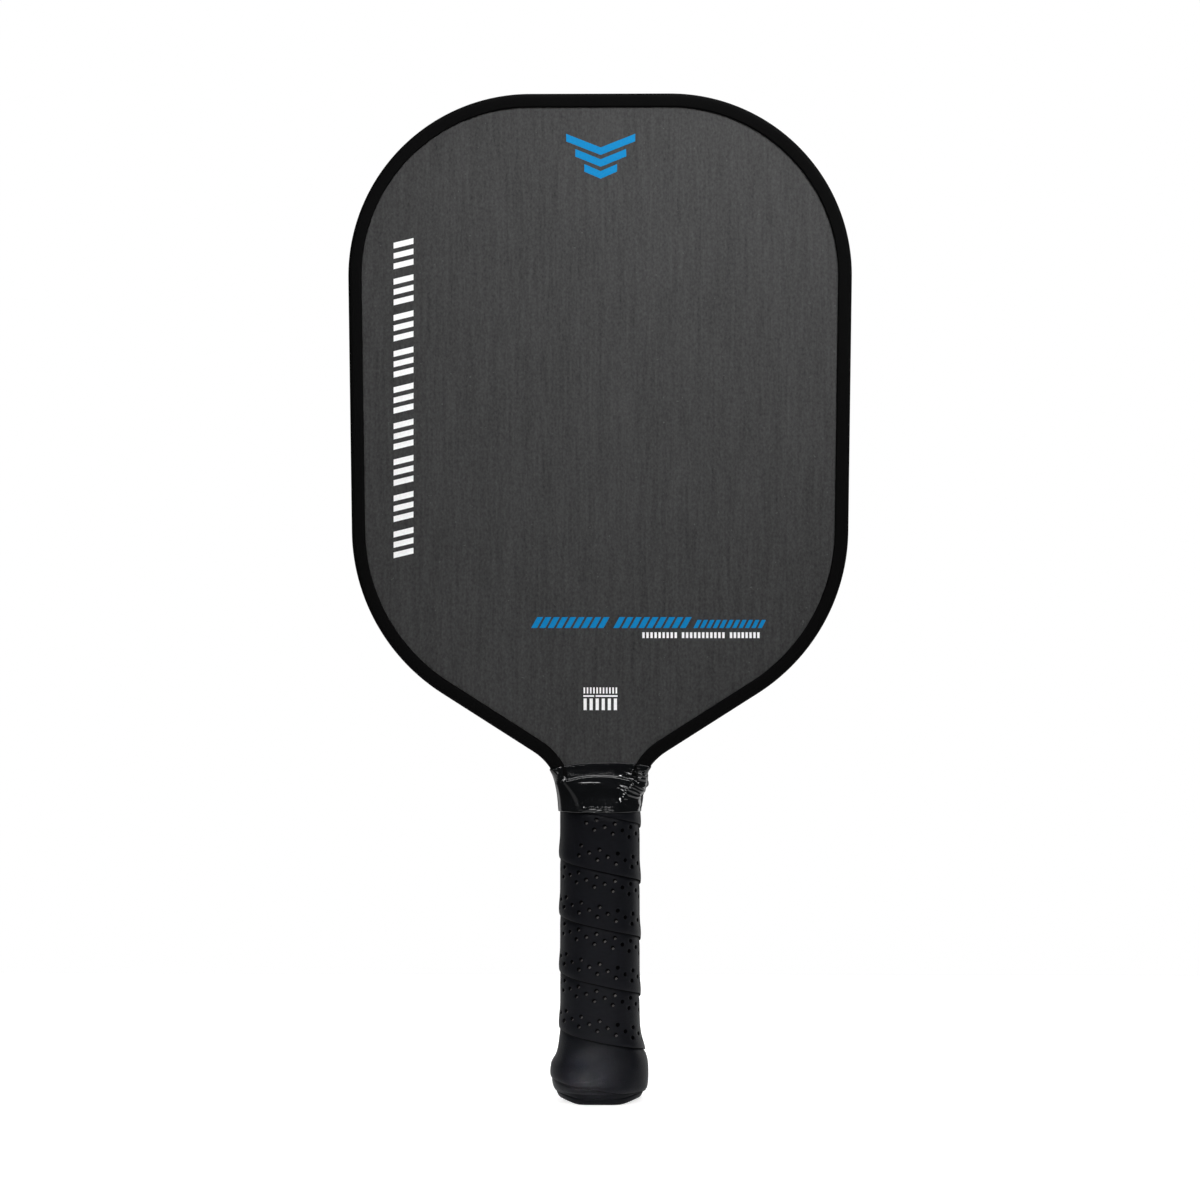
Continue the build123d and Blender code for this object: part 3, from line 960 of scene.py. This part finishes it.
def make_floor():
    """Lay a plain pale floor under the butt cap."""
    mesh = bpy.data.meshes.new("floor")
    front = [(-FLOOR_HALF, FLOOR_FRONT, FLOOR_Z), (FLOOR_HALF, FLOOR_FRONT, FLOOR_Z)]
    back = [(FLOOR_HALF, FLOOR_BACK, FLOOR_Z), (-FLOOR_HALF, FLOOR_BACK, FLOOR_Z)]
    mesh.from_pydata(front + back, [], [(0, 1, 2, 3)])
    floor = bpy.data.objects.new("floor", mesh)
    bpy.context.scene.collection.objects.link(floor)
    made = Shader("pale_floor", Roughness=0.8, Specular_IOR_Level=0.1)
    tone = made.noise(3.0, detail=2.0)
    made.colour(made.remap(tone, 0.3, 0.7, 0.0, 1.0), (0.66, 0.66, 0.66), (0.69, 0.69, 0.69))
    made.shader.inputs["Emission Color"].default_value = (1, 1, 1, 1)
    made.shader.inputs["Emission Strength"].default_value = FLOOR_GLOW
    floor.data.materials.append(made.material)


def make_light(name, place, target, size, power, spread=180.0, glossy=True):
    """Hang a soft rectangular light at a place, facing a target.

    spread narrows its beam, in degrees, and glossy tells whether shiny surfaces mirror it.
    """
    data = bpy.data.lights.new(name, "AREA")
    data.spread = math.radians(spread)
    data.shape, data.energy = "RECTANGLE", power
    data.size, data.size_y = size
    light = bpy.data.objects.new(name, data)
    light.visible_glossy = glossy
    light.visible_camera = False
    light.location = place
    light.rotation_euler = (Vector(target) - Vector(place)).to_track_quat("-Z", "Y").to_euler()
    bpy.context.scene.collection.objects.link(light)


def make_world():
    """Light the scene softly from all round, and show white behind the paddle."""
    world = bpy.data.worlds.new("studio")
    world.use_nodes = True
    tree = world.node_tree
    soft = tree.nodes["Background"]
    soft.inputs["Color"].default_value = (1, 1, 1, 1)
    soft.inputs["Strength"].default_value = SOFT_LIGHT
    white = tree.nodes.new("ShaderNodeBackground")
    white.inputs["Color"].default_value = (1, 1, 1, 1)
    white.inputs["Strength"].default_value = 1.0
    path = tree.nodes.new("ShaderNodeLightPath")
    mixture = tree.nodes.new("ShaderNodeMixShader")
    tree.links.new(path.outputs["Is Camera Ray"], mixture.inputs["Fac"])
    tree.links.new(soft.outputs["Background"], mixture.inputs[1])
    tree.links.new(white.outputs["Background"], mixture.inputs[2])
    tree.links.new(mixture.outputs["Shader"], tree.nodes["World Output"].inputs["Surface"])
    bpy.context.scene.world = world


# The camera's sensor, the width of its view at the front face, and where it stands
SENSOR_WIDTH = 36.0
FRAME_SPAN = 476.2 * MM
CAMERA_DISTANCE = 1.10
CAMERA_HEIGHT = 199.0 * MM
CAMERA_YAW = math.radians(1.0)

make_floor()
make_world()
make_light("key", (0.42, -0.75, 0.95), (0.05, 0, 0.44), (0.4, 0.4), 1.16, 38)
make_light("handle", (-0.40, -0.85, 0.60), (0, 0, 0.02), (0.15, 0.15), 0.024, 18, glossy=False)
make_light("cap", (-0.12, -1.20, 0.36), (0, 0, 0.01), (0.10, 0.10), 0.013, 9)
make_light("cap_gleam", (-0.3, -0.75, 0.02), (-0.0055, -0.018, 0.0125), (0.022, 0.010), 0.002, 1.6)
make_light("side", (-0.8, -0.9, 0.75), (0, 0, 0.15), (0.5, 0.9), 0.52)
make_light("top", (0.0, -0.10, 1.2), (0, 0, 0.10), (0.5, 0.2), 3.5)
make_light("back", (-0.3, 1.2, 0.9), (0, 0, 0.25), (0.8, 0.8), 9)
make_light("right_rim", (0.95, 0.75, 0.30), (0, 0, 0.20), (0.6, 1.0), 4)
make_light("left_rim", (-0.95, 0.75, 0.30), (0, 0, 0.20), (0.6, 1.0), 2)

camera_data = bpy.data.cameras.new("camera")
camera_data.sensor_width = SENSOR_WIDTH
camera_data.lens = SENSOR_WIDTH * (CAMERA_DISTANCE + FRONT_Y) / FRAME_SPAN
camera = bpy.data.objects.new("camera", camera_data)
camera.location = (
    CAMERA_DISTANCE * math.sin(CAMERA_YAW),
    -CAMERA_DISTANCE * math.cos(CAMERA_YAW),
    CAMERA_HEIGHT,
)
camera.rotation_euler = (math.pi / 2, 0, CAMERA_YAW)
bpy.context.scene.collection.objects.link(camera)
bpy.context.scene.camera = camera
bpy.context.scene.view_settings.view_transform = "Standard"
bpy.context.scene.view_settings.look = "None"
